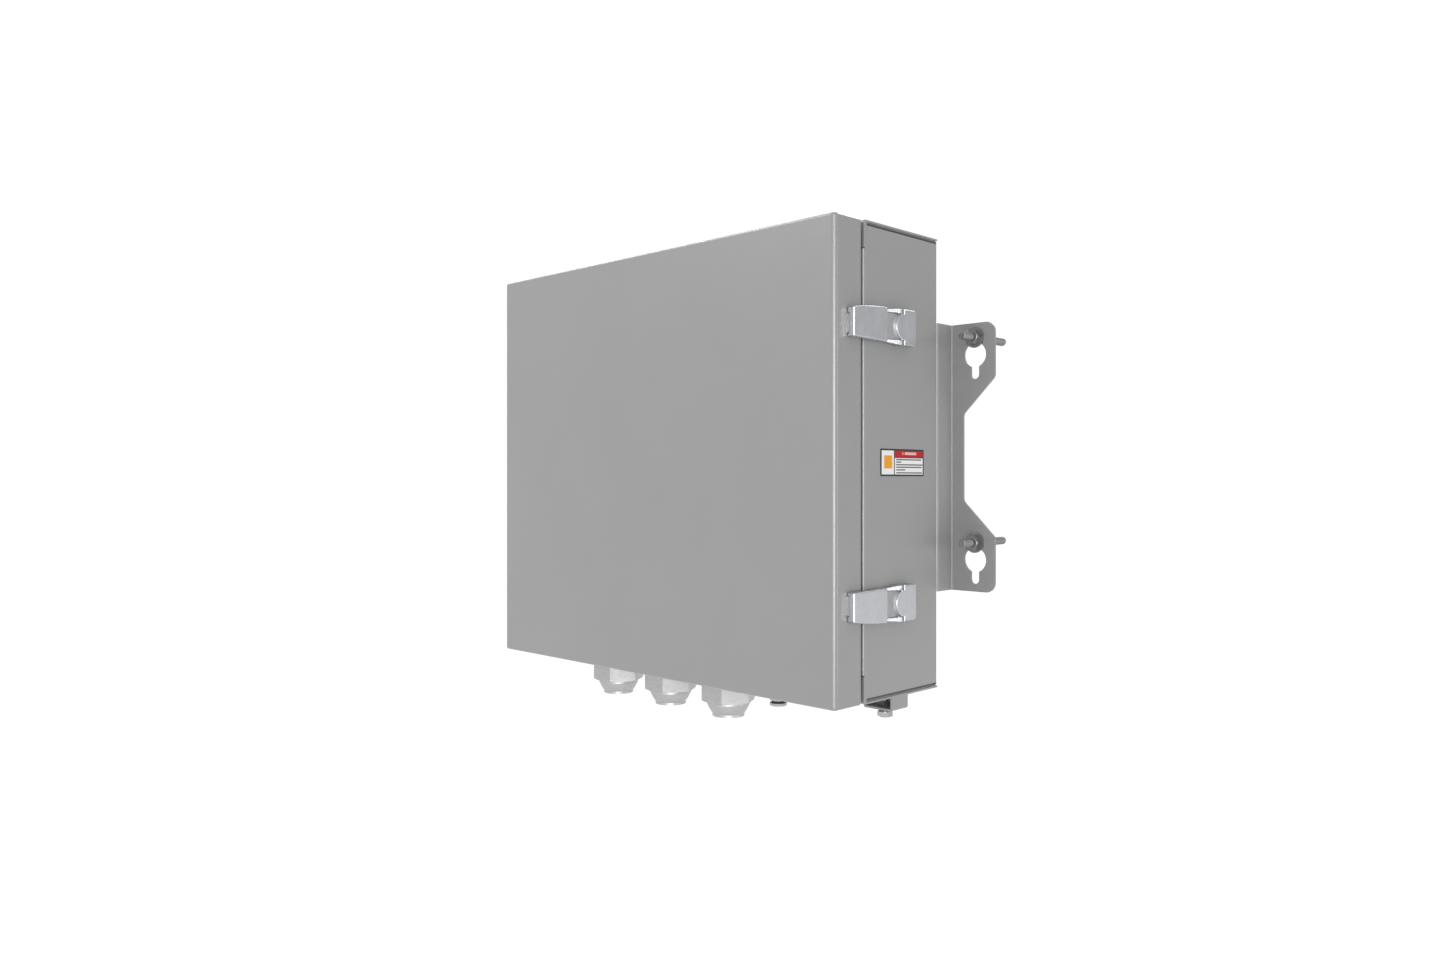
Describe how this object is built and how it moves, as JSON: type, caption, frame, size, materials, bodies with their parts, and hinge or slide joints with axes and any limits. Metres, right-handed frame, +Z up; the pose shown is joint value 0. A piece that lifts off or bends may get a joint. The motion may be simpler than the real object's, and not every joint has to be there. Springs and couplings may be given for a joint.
{
  "type": "dc combiner box",
  "caption": "Steel wall enclosure with latched door, bottom cable glands and keyhole brackets, holding fuse holders, surge arrester and DC isolator.",
  "frame": {"origin": "centre of the four mounting studs, in the plane of the brackets' rear faces", "axes": "+X to the latch side, +Y into the wall or pole frame, +Z up"},
  "size_m": [0.715, 0.2815, 0.5826],
  "materials": {
    "painted_sheet": "satin light grey powder coat",
    "seal_rubber": "matte black foam and rubber",
    "zinc_steel": "bright zinc plated",
    "die_cast": "die-cast zinc, satin",
    "nickel_brass": "nickel plated brass, bright",
    "label_film": "printed film",
    "light_plastic": "moulded light grey",
    "dark_plastic": "moulded black",
    "ceramic_link": "glazed ceramic with metal ends",
    "red_plastic": "moulded red",
    "insulator_red": "moulded thermoset",
    "copper_bar": "bare copper",
    "brass_bar": "drawn brass"
  },
  "bodies": {
    "enclosure": {"body_shell": "painted_sheet", "top_plate": "painted_sheet", "bottom_plate": "painted_sheet", "hinge_body_leaves": "painted_sheet", "hinge_pins": "zinc_steel", "latch_upper_base": "die_cast", "latch_lower_base": "die_cast", "latch_pivot_pins": "zinc_steel", "latch_screws": "zinc_steel", "side_label": "label_film", "bracket_left": "painted_sheet", "bracket_right": "painted_sheet", "bracket_bolts": "zinc_steel", "bracket_nuts": "zinc_steel", "pole_studs": "zinc_steel", "pole_washers": "zinc_steel", "pole_nuts": "zinc_steel", "gland_bodies": "nickel_brass", "gland_caps": "nickel_brass", "gland_seals": "seal_rubber", "gland_gaskets": "seal_rubber", "gland_lock_nuts": "nickel_brass", "vent_body": "light_plastic", "vent_membrane": "seal_rubber", "vent_cap": "light_plastic", "vent_nut": "light_plastic", "earth_bracket": "painted_sheet", "earth_bolt": "zinc_steel", "earth_nut_and_washers": "zinc_steel", "mounting_plate": "zinc_steel", "plate_standoffs": "zinc_steel", "plate_nuts": "zinc_steel", "device_rail": "zinc_steel", "fuse_holder_bases": "light_plastic", "surge_arrester_base": "light_plastic", "surge_modules": "red_plastic", "isolator_body": "light_plastic", "busbar_insulators": "insulator_red", "positive_busbar": "copper_bar", "negative_busbar": "copper_bar", "earth_bar": "brass_bar"},
    "door": {"door_panel": "painted_sheet", "door_gasket": "seal_rubber", "hinge_door_leaves": "painted_sheet", "latch_keepers": "die_cast"},
    "upper_lever": {"latch_upper_lever": "die_cast", "latch_upper_hook_pin": "zinc_steel"},
    "upper_hook": {"latch_upper_hook": "zinc_steel"},
    "lower_lever": {"latch_lower_lever": "die_cast", "latch_lower_hook_pin": "zinc_steel"},
    "lower_hook": {"latch_lower_hook": "zinc_steel"},
    "carrier_1": {"fuse_carrier_1": "dark_plastic", "fuse_links_1": "ceramic_link"},
    "carrier_2": {"fuse_carrier_2": "dark_plastic", "fuse_links_2": "ceramic_link"},
    "carrier_3": {"fuse_carrier_3": "dark_plastic", "fuse_links_3": "ceramic_link"},
    "carrier_4": {"fuse_carrier_4": "dark_plastic", "fuse_links_4": "ceramic_link"},
    "handle": {"isolator_handle": "dark_plastic"}
  },
  "joints": [
    {"name": "door_hinge", "type": "hinge", "parent": "enclosure", "child": "door", "pos_m": [-0.306, -0.1745, -0.027], "axis": [0, 0, -1], "range_deg": [0, 120]},
    {"name": "upper_lever_pivot", "type": "hinge", "parent": "enclosure", "child": "upper_lever", "pos_m": [0.306, -0.1175, 0.122], "axis": [0, 0, 1], "range_deg": [0, 100]},
    {"name": "upper_hook_pivot", "type": "hinge", "parent": "upper_lever", "child": "upper_hook", "pos_m": [0.305, -0.1615, 0.119], "axis": [0, 0, 1], "range_deg": [-25, 0]},
    {"name": "lower_lever_pivot", "type": "hinge", "parent": "enclosure", "child": "lower_lever", "pos_m": [0.306, -0.1175, -0.182], "axis": [0, 0, 1], "range_deg": [0, 100]},
    {"name": "lower_hook_pivot", "type": "hinge", "parent": "lower_lever", "child": "lower_hook", "pos_m": [0.305, -0.1615, -0.179], "axis": [0, 0, 1], "range_deg": [-25, 0]},
    {"name": "fuse_carrier_1_tilt", "type": "hinge", "parent": "enclosure", "child": "carrier_1", "pos_m": [-0.19, -0.111, 0.11], "axis": [1, 0, 0], "range_deg": [0, 90]},
    {"name": "fuse_carrier_2_tilt", "type": "hinge", "parent": "enclosure", "child": "carrier_2", "pos_m": [-0.152, -0.111, 0.11], "axis": [1, 0, 0], "range_deg": [0, 90]},
    {"name": "fuse_carrier_3_tilt", "type": "hinge", "parent": "enclosure", "child": "carrier_3", "pos_m": [-0.114, -0.111, 0.11], "axis": [1, 0, 0], "range_deg": [0, 90]},
    {"name": "fuse_carrier_4_tilt", "type": "hinge", "parent": "enclosure", "child": "carrier_4", "pos_m": [-0.076, -0.111, 0.11], "axis": [1, 0, 0], "range_deg": [0, 90]},
    {"name": "isolator_turn", "type": "hinge", "parent": "enclosure", "child": "handle", "pos_m": [0.165, -0.1265, 0.051], "axis": [0, -1, 0], "range_deg": [-90, 0]}
  ],
  "couplings": [
    {"joint": "upper_hook_pivot", "follows": "upper_lever_pivot", "ratio": -0.25},
    {"joint": "lower_hook_pivot", "follows": "lower_lever_pivot", "ratio": -0.25}
  ]
}
